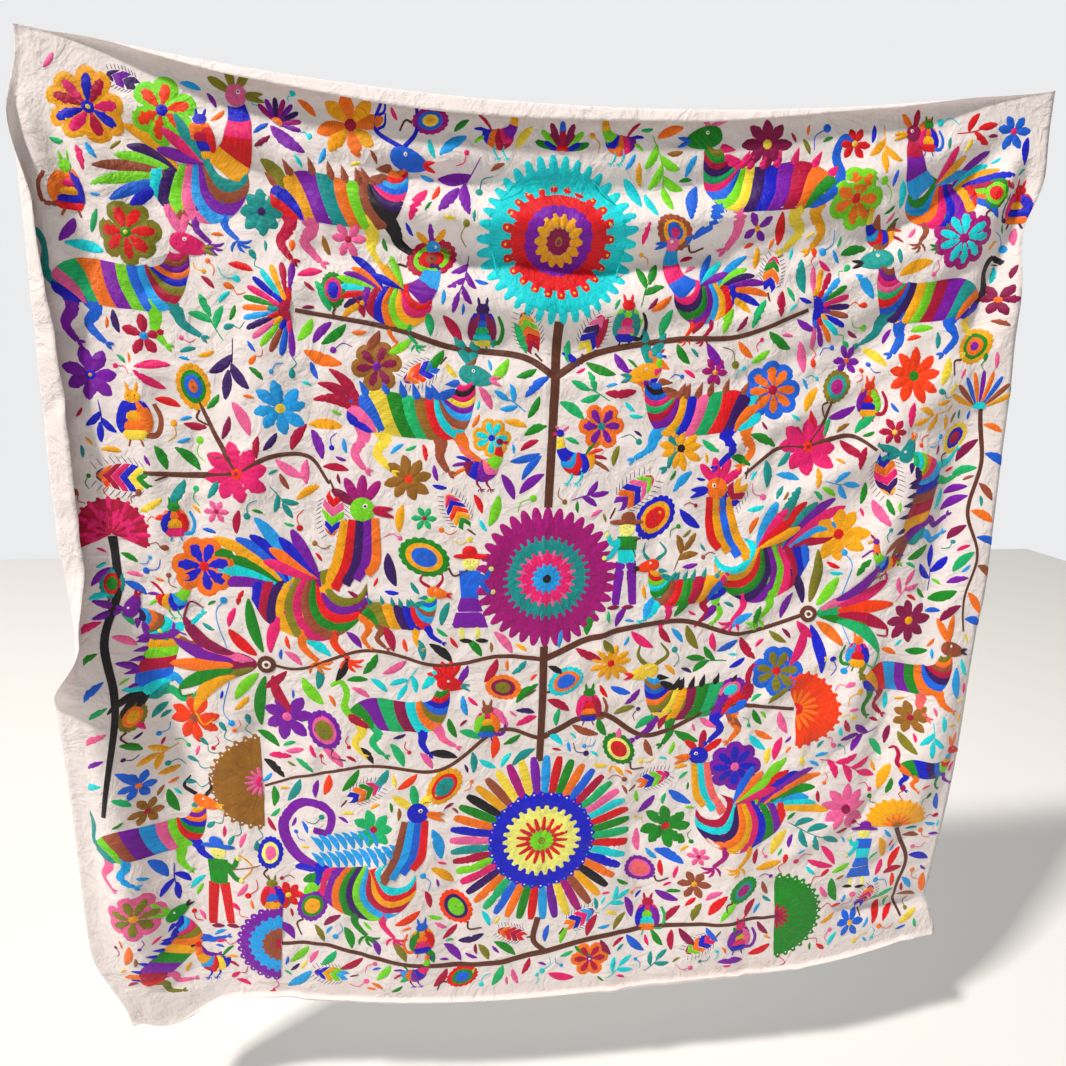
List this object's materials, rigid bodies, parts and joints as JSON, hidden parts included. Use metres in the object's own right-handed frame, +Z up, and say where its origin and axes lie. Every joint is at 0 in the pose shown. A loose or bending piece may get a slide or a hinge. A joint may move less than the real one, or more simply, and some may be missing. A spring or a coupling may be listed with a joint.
{
  "type": "embroidered cotton cloth, hanging by its top corners",
  "caption": "Square cotton cloth with otomi-style satin-stitch embroidery, hanging in soft folds by its two top corners.",
  "frame": {"origin": "middle of the top fold line of the hanging cloth", "axes": "+Z up, -Y out of the embroidered front, +X to the right of somebody who looks at the front"},
  "size_m": [2.0843, 0.1445, 2.1225],
  "materials": {
    "embroidered_cotton": "matte"
  },
  "bodies": {
    "root": {"cloth": "embroidered_cotton"}
  },
  "joints": []
}
